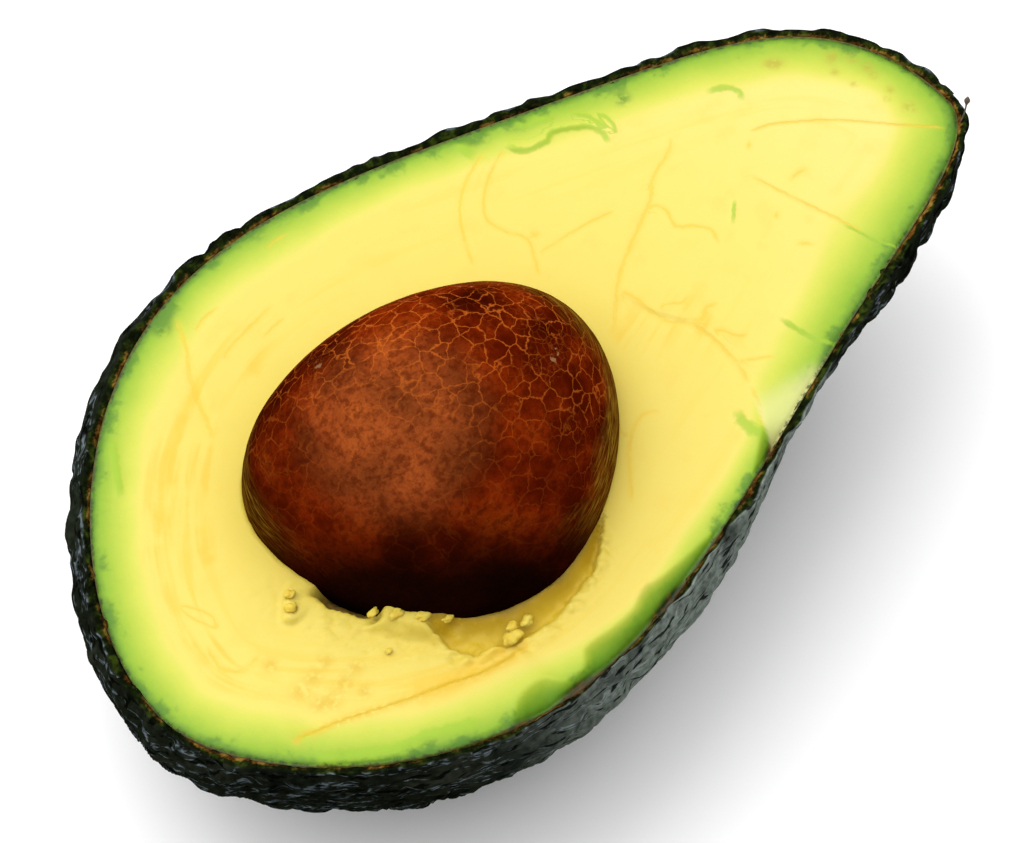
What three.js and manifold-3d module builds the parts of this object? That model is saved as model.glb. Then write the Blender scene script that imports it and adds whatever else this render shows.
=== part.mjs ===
// Half of an avocado, cut lengthwise and lying on its back with the cut face up.
// Three pieces: the skin shell, the flesh inside it, and the whole seed in the flesh.
// Millimetres, +Z up, +X towards the stem end, origin on the floor below the middle of the box.

import * as THREE from "three";
import { mergeVertices } from "three/addons/utils/BufferGeometryUtils.js";
import Module from "manifold-3d";

// The half fruit. Half widths and depth are cosine series of the station angle (see series).
const fruit = {
  halfLength: 55.6, // from the middle to either tip
  farSide: [36.0, 3.6, 1.4, -3.5], // half width on the +Y side
  nearSide: [22.8, 8.3, -1.2, -2.6], // half width on the -Y side
  depth: [35.1, 13.0, 0, 2.6], // from the cut face down to the underside
  rimAngle: THREE.MathUtils.degToRad(10), // how far above the widest line the cut runs
  waist: { place: 22, width: 10, lean: THREE.MathUtils.degToRad(28) }, // the sides lean in there
  restTrim: 0.8, // how far the underside is pressed flat where it rests
};
const skinThickness = 1.1;
const gap = 0.3; // between neighbouring pieces

// The seed is an egg: its long axis is turned from +X and it is thicker at one end.
const seed = {
  place: [-15.1, 1.2, 0.3], // centre, from the middle of the fruit's axis at the cut face
  halfLength: 16.7,
  halfWidth: 19.8,
  halfHeight: 19.0,
  taper: 0.24, // how much thicker the far end is than the near one
  turn: THREE.MathUtils.degToRad(78),
};

// Mesh fineness, and the short step used to find a direction.
const floorSteps = 400;
const smallStep = 1e-3;
const stations = 40;
const spokes = 32;
const seedRings = 24;
const seedSpokes = 32;

// sin(angle) times a short cosine series: zero at both tips and round there.
function series(terms, angle) {
  const sum = terms.reduce((total, term, order) => total + term * Math.cos(order * angle), 0);
  return Math.sin(angle) * sum;
}

// How far round from its widest line each section ends, by the section's place along the fruit:
// the same all along, but less by a bell curve at the waist, where the sides lean in from the rim.
function rimAngleAt(x) {
  const { place, width, lean } = fruit.waist;
  return fruit.rimAngle - lean * Math.exp(-(((x - place) / width) ** 2));
}

// A point of the outside: `angle` runs 0..PI from the blunt end to the stem end,
// and `around` runs 0..1 from the +Y rim, under the fruit, to the -Y rim.
function outerPoint(angle, around) {
  const far = series(fruit.farSide, angle);
  const near = series(fruit.nearSide, angle);
  const x = -fruit.halfLength * Math.cos(angle);
  const rimAngle = rimAngleAt(x);
  const lift = Math.sin(rimAngle);
  const turn = around * (Math.PI + 2 * rimAngle) - rimAngle;
  const across = Math.cos(turn) / Math.cos(rimAngle);
  const down = (Math.sin(turn) + lift) / (1 + lift);
  return new THREE.Vector3(
    x,
    (far - near) / 2 + ((far + near) / 2) * across,
    -series(fruit.depth, angle) * down,
  );
}

// Lowest point of the outside, raised by the trim: the floor, in the cut face's own height.
function floorHeight() {
  let lowest = 0;
  for (let step = 0; step <= floorSteps; step += 1) {
    lowest = Math.min(lowest, -series(fruit.depth, (step / floorSteps) * Math.PI));
  }
  return lowest + fruit.restTrim;
}
const floor = floorHeight();

// Outward direction of the outside at a point, from two short steps along the surface.
function outerNormal(angle, around) {
  if (angle <= 0) return new THREE.Vector3(-1, 0, 0);
  if (angle >= Math.PI) return new THREE.Vector3(1, 0, 0);
  const before = outerPoint(angle - smallStep, around);
  const along = outerPoint(Math.min(Math.PI, angle + smallStep), around).sub(before);
  const lower = outerPoint(angle, Math.min(1, around + smallStep));
  const down = lower.sub(outerPoint(angle, Math.max(0, around - smallStep)));
  return along.cross(down).normalize();
}

// The outside moved inward by `inset`, as rows of points from tip to tip.
// The rim stays in the cut plane and the underside stays flat above the resting spot.
function sheet(inset) {
  const rows = [];
  for (let i = 0; i <= stations; i += 1) {
    const angle = (i / stations) * Math.PI;
    const atTip = i === 0 || i === stations;
    const row = [];
    for (let j = 0; j <= (atTip ? 0 : spokes); j += 1) {
      const around = atTip ? 0.5 : j / spokes;
      const point = outerPoint(angle, around);
      point.addScaledVector(outerNormal(angle, around), -inset);
      point.z = Math.min(0, Math.max(point.z, floor + inset));
      if (atTip || j === 0 || j === spokes) point.z = 0;
      row.push(point);
    }
    rows.push(row);
  }
  return rows;
}

// Collects points and triangles of one closed body.
class Mesher {
  constructor() {
    this.positions = [];
    this.triangles = [];
  }

  addRows(rows) {
    return rows.map((row) => row.map((point) => this.positions.push(...point.toArray()) / 3 - 1));
  }

  addTriangle(a, b, c) {
    if (a !== b && b !== c && c !== a) this.triangles.push(a, b, c);
  }

  // Fills between neighbouring rows; a row of one point is a tip. `inward` turns the faces round.
  fill(rows, inward = false) {
    for (let i = 0; i + 1 < rows.length; i += 1) {
      const steps = Math.max(rows[i].length, rows[i + 1].length) - 1;
      for (let j = 0; j < steps; j += 1) {
        const [a, b] = [j, j + 1].map((k) => rows[i][Math.min(k, rows[i].length - 1)]);
        const [c, d] = [j, j + 1].map((k) => rows[i + 1][Math.min(k, rows[i + 1].length - 1)]);
        this.addTriangle(...(inward ? [a, b, c] : [a, c, b]));
        this.addTriangle(...(inward ? [b, d, c] : [b, c, d]));
      }
    }
  }

  geometry() {
    const geometry = new THREE.BufferGeometry();
    geometry.setAttribute("position", new THREE.Float32BufferAttribute(this.positions, 3));
    geometry.setIndex(this.triangles);
    return geometry;
  }
}

const firstOf = (row) => row[0];
const lastOf = (row) => row[row.length - 1];

// The shell: an outer sheet, an inner sheet, and the cut edge that joins their rims.
function makeSkin() {
  const mesher = new Mesher();
  const outer = mesher.addRows(sheet(0));
  const inner = mesher.addRows(sheet(skinThickness));
  mesher.fill(outer);
  mesher.fill(inner, true);
  mesher.fill(outer.map((row, i) => [firstOf(inner[i]), firstOf(row)]));
  mesher.fill(outer.map((row, i) => [lastOf(row), lastOf(inner[i])]));
  return mesher.geometry();
}

// The flesh before the seed's hollow is cut: an inner sheet closed by the flat cut face.
function makeFleshBlank() {
  const mesher = new Mesher();
  const rows = mesher.addRows(sheet(skinThickness + gap));
  mesher.fill(rows);
  mesher.fill(rows.map((row) => [lastOf(row), firstOf(row)]));
  return mesher.geometry();
}

// An egg, `clearance` larger than the seed all round.
function makeSeed(clearance) {
  const mesher = new Mesher();
  const rows = [];
  for (let i = 0; i <= seedRings; i += 1) {
    const angle = (i / seedRings) * Math.PI;
    const along = -Math.cos(angle);
    const girth = Math.sin(angle) * (1 + seed.taper * along);
    const atTip = i === 0 || i === seedRings;
    const row = [];
    for (let j = 0; j < (atTip ? 1 : seedSpokes); j += 1) {
      const turn = (-j / seedSpokes) * 2 * Math.PI;
      row.push(
        new THREE.Vector3(
          (seed.halfLength + clearance) * along,
          (seed.halfWidth + clearance) * girth * Math.cos(turn),
          (seed.halfHeight + clearance) * girth * Math.sin(turn),
        ),
      );
    }
    rows.push(row);
  }
  const numbered = mesher.addRows(rows);
  mesher.fill(numbered.map((row) => (row.length > 1 ? [...row, row[0]] : row)));
  const geometry = mesher.geometry();
  geometry.rotateZ(seed.turn);
  geometry.translate(...seed.place);
  return geometry;
}

const wasm = await Module();
wasm.setup();

function toSolid(geometry) {
  const merged = mergeVertices(geometry);
  const vertProperties = new Float32Array(merged.attributes.position.array);
  const triVerts = new Uint32Array(merged.index.array);
  return new wasm.Manifold(new wasm.Mesh({ numProp: 3, vertProperties, triVerts }));
}

function toGeometry(solid) {
  const cut = solid.getMesh();
  const geometry = new THREE.BufferGeometry();
  geometry.setAttribute("position", new THREE.BufferAttribute(cut.vertProperties, 3));
  geometry.setIndex(new THREE.BufferAttribute(cut.triVerts, 1));
  return geometry;
}

function finish(name, geometry, shift, look) {
  geometry.translate(...shift.toArray());
  geometry.computeVertexNormals();
  const mesh = new THREE.Mesh(geometry, new THREE.MeshStandardMaterial({ metalness: 0, ...look }));
  mesh.name = name;
  return mesh;
}

const skinForm = makeSkin();
const fleshForm = toGeometry(toSolid(makeFleshBlank()).subtract(toSolid(makeSeed(gap))));
const seedForm = makeSeed(0);

// The origin goes on the floor, below the middle of the skin's box.
skinForm.computeBoundingBox();
const middle = skinForm.boundingBox.getCenter(new THREE.Vector3());
const shift = new THREE.Vector3(-middle.x, -middle.y, -floor);

const avocadoHalf = new THREE.Group();
avocadoHalf.add(
  finish("skin", skinForm, shift, { color: 0x1d2418, roughness: 0.45 }),
  finish("flesh", fleshForm, shift, { color: 0xf0dc7a, roughness: 0.5 }),
  finish("seed", seedForm, shift, { color: 0x5a2412, roughness: 0.4 }),
);

export default avocadoHalf;
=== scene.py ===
# Half an avocado on a white table: pebbled skin, cut flesh with its knife marks, and the whole seed.
# The imported model's skin box gives the length, the near side's place and the cut height; all shapes are
# worked out in millimetres and turned to metres last.
import bpy
import numpy as np
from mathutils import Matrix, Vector


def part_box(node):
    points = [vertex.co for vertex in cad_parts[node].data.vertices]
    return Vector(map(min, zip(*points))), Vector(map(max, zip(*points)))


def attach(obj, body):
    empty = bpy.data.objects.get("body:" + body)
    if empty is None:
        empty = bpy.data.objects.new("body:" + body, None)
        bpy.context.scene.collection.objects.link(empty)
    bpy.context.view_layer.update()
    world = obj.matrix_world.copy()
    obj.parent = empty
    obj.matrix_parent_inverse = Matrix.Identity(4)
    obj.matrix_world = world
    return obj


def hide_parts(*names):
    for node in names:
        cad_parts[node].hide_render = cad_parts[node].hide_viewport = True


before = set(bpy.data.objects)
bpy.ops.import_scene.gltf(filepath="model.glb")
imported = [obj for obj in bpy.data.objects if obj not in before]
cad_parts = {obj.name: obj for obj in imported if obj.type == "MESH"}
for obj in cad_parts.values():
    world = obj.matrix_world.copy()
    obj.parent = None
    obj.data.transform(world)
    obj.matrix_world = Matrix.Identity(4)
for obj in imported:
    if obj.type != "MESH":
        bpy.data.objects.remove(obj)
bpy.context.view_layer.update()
scene = bpy.context.scene
mm = 0.001
studioLevel = 1.53

skinLow, skinHigh = (np.array(corner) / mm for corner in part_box("skin"))
cutHeight = skinHigh[2]

# The half fruit: half widths and depth are short cosine series of the station angle.
fruit = {
    "halfLength": (skinHigh[0] - skinLow[0]) / 2,
    "farSide": (36.6, 3.4, 1.4, -3.5),
    "nearSide": (22.8, 8.3, -1.2, -2.6),
    "depth": (35.1, 13.0, 0.0, 2.6),
    "rimAngle": np.radians(10),
    "waistPlace": 22.0, "waistWidth": 10.0, "waistLean": np.radians(28),
}


# sin(angle) times a cosine series of the angle: zero at both tips, and round there
def series(terms, angle):
    return np.sin(angle) * sum(term * np.cos(order * angle) for order, term in enumerate(terms))


stationAngles = np.linspace(0, np.pi, 721)
sideShift = skinLow[1] + series(fruit["nearSide"], stationAngles).max()


# A point of the fruit's outside. x = -halfLength cos(angle); the section is a half ellipse from the
# +Y rim (around 0) to the -Y rim (around 1) that starts and ends a rim angle above its widest line,
# and that rim angle is less by a bell curve at the waist
def outside(angle, around):
    far = series(fruit["farSide"], angle)
    near = series(fruit["nearSide"], angle)
    x = -fruit["halfLength"] * np.cos(angle) + 0 * around
    bell = np.exp(-(((x - fruit["waistPlace"]) / fruit["waistWidth"]) ** 2))
    rim = fruit["rimAngle"] - fruit["waistLean"] * bell
    turn = around * (np.pi + 2 * rim) - rim
    across = np.cos(turn) / np.cos(rim)
    down = (np.sin(turn) + np.sin(rim)) / (1 + np.sin(rim))
    y = (far - near) / 2 + (far + near) / 2 * across + sideShift
    z = cutHeight - series(fruit["depth"], angle) * down
    return np.stack([x, y, z], -1)


# Outward direction: the cross product of two short steps along the surface
def outward(angle, around):
    step = 1e-3
    angle, around = np.broadcast_arrays(angle, around)
    inner = np.clip(angle, 2 * step, np.pi - 2 * step)
    along = outside(inner + step, around) - outside(inner - step, around)
    down = outside(inner, np.minimum(around + step, 1)) - outside(inner, np.maximum(around - step, 0))
    normal = np.cross(along, down)
    return normal / np.linalg.norm(normal, axis=-1, keepdims=True)


# A repeatable number from 0 to 1 for each whole-number cell
def cellNumber(cell, seed):
    mixed = cell[..., 0] * 73856093 ^ cell[..., 1] * 19349663 ^ cell[..., 2] * 83492791 ^ seed * 7919
    mixed = (mixed ^ (mixed >> 13)) * 1274126177 & 0xFFFFFFFF
    mixed = (mixed ^ (mixed >> 15)) * 668265263 & 0xFFFFFFFF
    return ((mixed ^ (mixed >> 16)) & 0xFFFF) / 65535.0


# Smooth noise from -1 to 1: the cells' numbers blended between the eight corners of each cell
def smoothNoise(points, size, seed=0):
    spot = points / size
    cell = np.floor(spot).astype(np.int64)
    part = spot - cell
    part = part * part * (3 - 2 * part)
    total = 0.0
    for corner in np.ndindex(2, 2, 2):
        share = np.prod(np.where(np.array(corner) == 1, part, 1 - part), axis=-1)
        total = total + share * cellNumber(cell + np.array(corner), seed)
    return total * 2 - 1


# Several layers of smooth noise, each half the size and half the height of the one before
def layeredNoise(points, size, layers=3, seed=0):
    heights = [smoothNoise(points, size / 2**k, seed + 17 * k) / 2**k for k in range(layers)]
    return sum(heights) / (2 - 2.0 ** (1 - layers))


# Cell pattern: distances to the nearest and the second nearest of one scattered point per cell
def scatterDistances(points, size, seed=0):
    spot = points / size
    cell = np.floor(spot).astype(np.int64)
    near = np.full(spot.shape[:-1], 9.0)
    second = near.copy()
    for offset in np.ndindex(3, 3, 3):
        there = cell + np.array(offset) - 1
        seedPoint = np.stack([cellNumber(there, seed + 101 * k) for k in range(3)], -1) + there
        distance = np.linalg.norm(spot - seedPoint, axis=-1)
        second = np.minimum(second, np.maximum(near, distance))
        near = np.minimum(near, distance)
    return near, second


# 0 below low, 1 above high, and 3 t^2 - 2 t^3 between
def smoothStep(low, high, value):
    part = np.clip((value - low) / (high - low), 0, 1)
    return part * part * (3 - 2 * part)


# 2-D points given a third coordinate of zero
def flat(xy):
    return np.concatenate([xy, np.zeros(xy.shape[:-1] + (1,))], -1)


# Smooth curve through a few points: cubic Catmull-Rom pieces cut into short steps
def curveThrough(points, stepsPerPiece=14):
    points = np.array(points, float)
    if len(points) < 3:
        share = np.linspace(0, 1, 3 * stepsPerPiece)[:, None]
        return points[:1] * (1 - share) + points[-1:] * share
    ends = np.vstack([2 * points[0] - points[1], points, 2 * points[-1] - points[-2]])
    a, b, c, d = ends[:-3, None], ends[1:-2, None], ends[2:-1, None], ends[3:, None]
    t = np.linspace(0, 1, stepsPerPiece, endpoint=False)[None, :, None]
    pieces = b + (c - a) / 2 * t + (a - 2.5 * b + 2 * c - d / 2) * t**2
    pieces = pieces + (1.5 * (b - c) + (d - a) / 2) * t**3
    return np.vstack([pieces.reshape(-1, points.shape[1]), points[-1:]])


# How far each point is from a path of short straight steps, on which side (left is +1), and how far
# along it (0 to 1): the nearest spot on each step, then the nearest step
def nearestOnPath(spots, path):
    ahead = np.diff(path, axis=0)
    away = spots[:, None] - path[None, :-1]
    share = np.clip((away * ahead).sum(-1) / np.maximum((ahead**2).sum(-1), 1e-12), 0, 1)
    gaps = np.linalg.norm(away - share[..., None] * ahead, axis=-1)
    best = gaps.argmin(1)
    pick = np.arange(len(spots))
    turn = ahead[best, 0] * away[pick, best, 1] - ahead[best, 1] * away[pick, best, 0]
    return gaps[pick, best], np.sign(turn), (best + share[pick, best]) / len(ahead)


# The same for a smooth curve, worked out only for the points within `reach` of its box
def fromCurve(xy, points, reach):
    path = curveThrough(points)
    distance = np.full(xy.shape[:-1], 1e3)
    side = np.zeros(xy.shape[:-1])
    along = np.zeros(xy.shape[:-1])
    inBox = np.all((xy > path.min(0) - reach) & (xy < path.max(0) + reach), axis=-1)
    distance[inBox], side[inBox], along[inBox] = nearestOnPath(xy[inBox], path)
    return distance, side, along


# 1 along most of a curve, falling smoothly to 0 over `soft` millimetres at its ends
def tapered(along, points, soft=1.2):
    length = np.linalg.norm(np.diff(np.array(points, float), axis=0), axis=1).sum()
    taper = min(0.5, soft / length)
    return smoothStep(0, taper, along) * smoothStep(0, taper, 1 - along)


# A line drawn on the cut face: a bell across the curve
def stroke(xy, points, width):
    distance, _, along = fromCurve(xy, points, 4 * width)
    return tapered(along, points) * np.exp(-((distance / width) ** 2))


# For a set of marks: the distance to the nearest one in its own widths, with a sign for the side,
# and how strong that mark is there. The sign lets a thin line stay sharp between mesh points
def markField(xy, marks):
    gap = np.full(xy.shape[:-1], 9.0)
    strength = np.zeros(xy.shape[:-1])
    for width, path in marks:
        distance, side, along = fromCurve(xy, path, 6 * width)
        near = tapered(along, path) * np.exp(-((distance / (3 * width)) ** 2))
        gap = np.where(near > strength, side * distance / width, gap)
        strength = np.maximum(strength, near)
    return gap, strength


# A knife step: one side of the curve stands above the other and levels out over `reach`
def knifeStep(xy, points, height, reach):
    distance, side, along = fromCurve(xy, points, 3 * reach)
    return height * side * np.tanh(distance / 0.2) * np.exp(-distance / reach) * tapered(along, points, 3.0)


# A sheet's flat layout: an even grid with a small margin
def evenLayout(rows, columns, margin=0.01):
    ways = [np.linspace(margin, 1 - margin, count) for count in (rows, columns)]
    return np.stack(np.meshgrid(*ways, indexing="ij"), -1)


# Two triangles for each square of a grid; rows run along +X and columns turn so that faces look out
def gridTriangles(rows, columns):
    corner = (np.arange(rows - 1)[:, None] * columns + np.arange(columns - 1)[None]).ravel()
    first = np.stack([corner, corner + columns, corner + 1], -1)
    second = np.stack([corner + 1, corner + columns, corner + columns + 1], -1)
    return np.vstack([first, second])


stepsPerMm = 2e4  # points closer than one of these steps count as the same


# One closed piece from several grids: points that coincide are joined and flattened faces dropped
def makePiece(name, sheets, material):
    points = np.vstack([sheet["points"].reshape(-1, 3) for sheet in sheets])
    layout = np.vstack([sheet["layout"].reshape(-1, 2) for sheet in sheets])
    starts = np.cumsum([0] + [sheet["points"].shape[0] * sheet["points"].shape[1] for sheet in sheets])
    faces = [gridTriangles(*sheet["points"].shape[:2]) + start for sheet, start in zip(sheets, starts)]
    faces = np.vstack(faces)
    rounded = np.round(points * stepsPerMm).astype(np.int64)
    _, kept, joined = np.unique(rounded, axis=0, return_index=True, return_inverse=True)
    joined = joined.reshape(-1)
    welded = joined[faces]
    whole = np.all(welded != np.roll(welded, 1, axis=1), axis=1)
    mesh = bpy.data.meshes.new(name)
    mesh.from_pydata((points[kept] * mm).tolist(), [], welded[whole].tolist())
    mesh.polygons.foreach_set("use_smooth", np.ones(len(mesh.polygons), bool))
    mesh.uv_layers.new(name="OFBake").data.foreach_set("uv", layout[faces[whole].reshape(-1)].reshape(-1))
    for key in sheets[0].get("values", {}):
        spread = [sheet["values"].get(key, np.zeros(sheet["points"].shape[:2])) for sheet in sheets]
        attribute = mesh.attributes.new(key, "FLOAT", "POINT")
        values = np.concatenate([part.reshape(-1) for part in spread])[kept]
        attribute.data.foreach_set("value", values.astype(np.float32))
    mesh.validate()
    mesh.update()
    piece = bpy.data.objects.new(name, mesh)
    scene.collection.objects.link(piece)
    mesh.materials.append(material)
    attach(piece, "root")
    print(name, len(mesh.vertices), "points", len(mesh.polygons), "faces")
    return piece


# A colour as it looks on a screen, 0 to 255, as the linear colour that shaders use
def paint(red, green, blue):
    share = np.array([red, green, blue]) / 255
    linear = np.where(share <= 0.04045, share / 12.92, ((share + 0.055) / 1.055) ** 2.4)
    return (*linear.tolist(), 1.0)


# The colour of a surface that looks like this under the studio light
def seen(red, green, blue):
    *colour, alpha = paint(red, green, blue)
    return (*(channel / studioLevel for channel in colour), alpha)


# One socket of a node tree. Arithmetic on it adds Math nodes, and add() makes any other node
class Wire:
    def __init__(self, tree, socket=None):
        self.tree = tree
        self.socket = socket

    def add(self, kind, settings=None, inputs=None, take=0):
        node = self.tree.nodes.new(kind)
        for name, value in (settings or {}).items():
            if name == "stops":
                ramp = node.color_ramp
                while len(ramp.elements) < len(value):
                    ramp.elements.new(0.5)
                for element, (place, colour) in zip(ramp.elements, value):
                    element.position = place
                    element.color = colour
            else:
                setattr(node, name, value)
        for key, value in (inputs or {}).items():
            if isinstance(value, Wire):
                self.tree.links.new(value.socket, node.inputs[key])
            else:
                node.inputs[key].default_value = value
        return Wire(self.tree, node.outputs[take])

    def maths(self, operation, *values):
        return self.add("ShaderNodeMath", {"operation": operation}, dict(enumerate(values)))

    def __add__(self, other):
        return self.maths("ADD", self, other)

    def __sub__(self, other):
        return self.maths("SUBTRACT", self, other)

    def __mul__(self, other):
        return self.maths("MULTIPLY", self, other)

    def __truediv__(self, other):
        return self.maths("DIVIDE", self, other)

    def __rsub__(self, other):
        return self.maths("SUBTRACT", other, self)

    __radd__ = __add__
    __rmul__ = __mul__

    # 0 below low, 1 above high, smooth between
    def between(self, low, high):
        inputs = {"Value": self, "From Min": low, "From Max": high}
        return self.add("ShaderNodeMapRange", {"interpolation_type": "SMOOTHSTEP"}, inputs)

    def ramp(self, *stops):
        return self.add("ShaderNodeValToRGB", {"stops": stops}, {0: self})

    # from colour a to colour b by this factor
    def mix(self, a, b):
        return self.add("ShaderNodeMix", {"data_type": "RGBA"}, {0: self, 6: a, 7: b}, take=2)


# A new material, its start wire, its Principled shader and the place on the object in metres
def newMaterial(name, **constants):
    material = bpy.data.materials.new(name)
    material.use_nodes = True
    shader = material.node_tree.nodes["Principled BSDF"]
    for key, value in constants.items():
        shader.inputs[key.replace("_", " ")].default_value = value
    start = Wire(material.node_tree)
    place = start.add("ShaderNodeTexCoord", take=3)
    return material, start, shader, place


# Joins wires to the shader's inputs of the same names
def feed(shader, **wires):
    for key, wire in wires.items():
        wire.tree.links.new(wire.socket, shader.inputs[key.replace("_", " ")])


# A value stored at the mesh points
def attribute(start, name):
    return start.add("ShaderNodeAttribute", {"attribute_name": name}, take=2)


# The size of a value without its sign
def absolute(wire):
    return wire.maths("ABSOLUTE", wire)


# Noise whose lumps are `size` millimetres wide; take=1 gives its colour, three noises at once
def noise(start, place, size, detail=2.0, take=0):
    values = {"Vector": place, "Scale": 1 / (size * mm), "Detail": detail}
    return start.add("ShaderNodeTexNoise", {}, values, take=take)


# Noise laid out over three worked-out wires in place of x, y and z
def noiseOver(start, ways, detail):
    joined = start.add("ShaderNodeCombineXYZ", {}, dict(enumerate(ways)))
    return start.add("ShaderNodeTexNoise", {}, {"Vector": joined, "Scale": 1.0, "Detail": detail})


# The x and the y of a place
def flatAxes(place):
    return [place.add("ShaderNodeSeparateXYZ", {}, {0: place}, take=axis) for axis in range(2)]


# The place with each axis multiplied, so that a pattern is drawn out along a small one
def stretched(place, x=1.0, y=1.0, z=1.0):
    return place.add("ShaderNodeMapping", {}, {"Vector": place, "Scale": (x, y, z)})


# A normal tilted as if the height stood `distance` millimetres proud
def bump(start, height, distance, strength=1.0):
    inputs = {"Height": height, "Distance": distance * mm, "Strength": strength}
    return start.add("ShaderNodeBump", {}, inputs)


skinLook = {
    "thickness": 1.1,
    "rows": 440, "spokes": 196, "rimSteps": 5, "innerSpokes": 10,
    "wartSize": 4.4, "wartHeight": 0.6,
    "wrinkleSize": 1.2, "wrinkleHeight": 0.26,
    "bulge": 1.3, "meanRadius": 45,
}
# Where the skin's rim is torn back: place, half length, how far in and how far down
rimBites = [(-7.0, -30.0, 3.0, 0.7, 0.9), (-14.0, -31.5, 4.0, 0.5, 0.5), (-20.5, -32.0, 2.5, 0.8, 0.9),
            (-27.0, -31.0, 3.0, 0.6, 0.5), (13.0, -24.0, 2.4, 0.5, 0.8), (1.0, -29.0, 3.0, 0.4, 0.4)]


# Height of the skin's relief: rounded warts with grooves between, and small wrinkles over them. Near
# the rim the wrinkles are drawn out along it: their cells are set in (way along the rim, way below it)
def skinRelief(points, alongRim, belowRim):
    swirl = np.stack([smoothNoise(points, 6.0, 40 + k) for k in range(3)], -1)
    bent = (points + 1.3 * swirl) * np.array([0.7, 1.0, 1.0])
    near, second = scatterDistances(bent, skinLook["wartSize"], 5)
    warts = smoothStep(0.0, 0.5, second - near) * (1.1 - 0.5 * near)
    warts = warts * (0.8 + 0.5 * smoothNoise(points, 9.0, 70))
    near, second = scatterDistances(points + 0.7 * swirl, skinLook["wrinkleSize"] * 1.3, 9)
    wrinkles = smoothStep(0.0, 0.4, second - near)
    drawn = np.stack([alongRim * 0.25, belowRim, 0 * belowRim], -1) + 0.8 * swirl
    near, second = scatterDistances(drawn, skinLook["wrinkleSize"], 11)
    share = 1 - smoothStep(12, 20, belowRim)
    wrinkles = wrinkles * (1 - share) + smoothStep(0.0, 0.5, second - near) * share
    return skinLook["wartHeight"] * (warts - 0.35) + skinLook["wrinkleHeight"] * (wrinkles - 0.5)


# How far the rim is torn in and down at a place of the rim, each bite a bell
def rimTear(xy, part):
    total = 0.0
    for bite in rimBites:
        gap = np.hypot(xy[..., 0] - bite[0], xy[..., 1] - bite[1]) / bite[2]
        total = total + bite[part] * np.exp(-(gap**2))
    return total


# The closed section runs down the outside, in over the cut edge and back up the inside
def makeSkin(material):
    rows, spokes = skinLook["rows"], skinLook["spokes"]
    angle = np.linspace(0, np.pi, rows)[:, None]
    around = np.linspace(0, 1, spokes)[None]
    outer = outside(angle, around)
    normal = outward(angle, around)
    below = cutHeight - outer[..., 2]
    stepsDown = np.linalg.norm(np.diff(outer, axis=1, prepend=outer[:, :1]), axis=-1)
    fromFar = np.cumsum(stepsDown, 1)
    belowRim = np.minimum(fromFar, fromFar[:, -1:] - fromFar)
    alongRim = angle * skinLook["meanRadius"] * np.where(around < 0.5, 1, -1)
    relief = skinRelief(outer, alongRim, belowRim) * (0.25 + 0.75 * smoothStep(0, 3.0, outer[..., 2]))
    full = smoothStep(0.2, 0.9, normal @ np.array([-0.9, 0.43, 0.0])) * smoothStep(0, 2.5, below)
    hollowed = 0.25 * smoothStep(0.3, 0.8, normal @ np.array([-0.5, -0.86, 0.0])) * smoothStep(5, 14, below)
    full = full * (1 - smoothStep(10, 24, below)) - hollowed
    tear = rimTear(outer[..., :2], 3) * (1 - smoothStep(0, 5, below))
    outer = outer + normal * (relief + skinLook["bulge"] * full - tear)[..., None]
    outer[..., 2] = np.clip(outer[..., 2], 0, cutHeight)
    outer[:, [0, -1], 2] = cutHeight - rimTear(outer[:, [0, -1], :2], 4)

    innerAround = np.linspace(1, 0, skinLook["innerSpokes"])[None]
    inner = outside(angle, innerAround) - outward(angle, innerAround) * skinLook["thickness"]
    ragged = np.abs(layeredNoise(inner[:, [0, -1]], 1.3, 3, 3)) * 0.9 - 0.15
    inner[:, [0, -1]] -= outward(angle, innerAround)[:, [0, -1]] * ragged[..., None]
    inner[..., 2] = np.clip(inner[..., 2], skinLook["thickness"], cutHeight)
    inner[:, [0, -1], 2] = cutHeight - 0.3 - rimTear(inner[:, [0, -1], :2], 4)

    share = np.linspace(0, 1, skinLook["rimSteps"] + 2)[1:-1][None, :, None]
    hump = 0.3 * np.sin(np.pi * np.sqrt(share[..., 0]))
    rims = []
    for outerEdge, innerEdge in ((outer[:, -1:], inner[:, :1]), (outer[:, :1], inner[:, -1:])):
        rim = outerEdge * (1 - share) + innerEdge * share
        rim[..., 2] += hump * (0.4 + 0.6 * smoothNoise(rim, 0.8, 21)) - 0.05
        rims.append(rim)
    points = np.concatenate([outer, rims[0], inner, rims[1][:, ::-1], outer[:, :1]], 1)
    across = np.repeat(share[..., 0], rows, 0)
    atOuter = outer[..., 0] * 0
    atInner = inner[..., 0] * 0 + 1
    edge = np.concatenate([atOuter, across, atInner, across[:, ::-1], atOuter[:, :1]], 1)
    torn = rimTear(points[..., :2], 3) * (edge > 0) + 0.5 * smoothStep(28, 46, points[..., 0])
    layout = evenLayout(rows, points.shape[1])
    ways = [np.concatenate([way, way[:, -1:] + 0 * across, np.repeat(way[:, -1:], inner.shape[1], 1),
                            way[:, :1] + 0 * across, way[:, :1]], 1) for way in (alongRim, belowRim)]
    values = {"edge": edge, "torn": torn, "alongRim": ways[0], "belowRim": ways[1]}
    sheet = {"points": points, "layout": layout, "values": values}
    skin = makePiece("avocado_skin", [sheet], material)
    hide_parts("skin")
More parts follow.
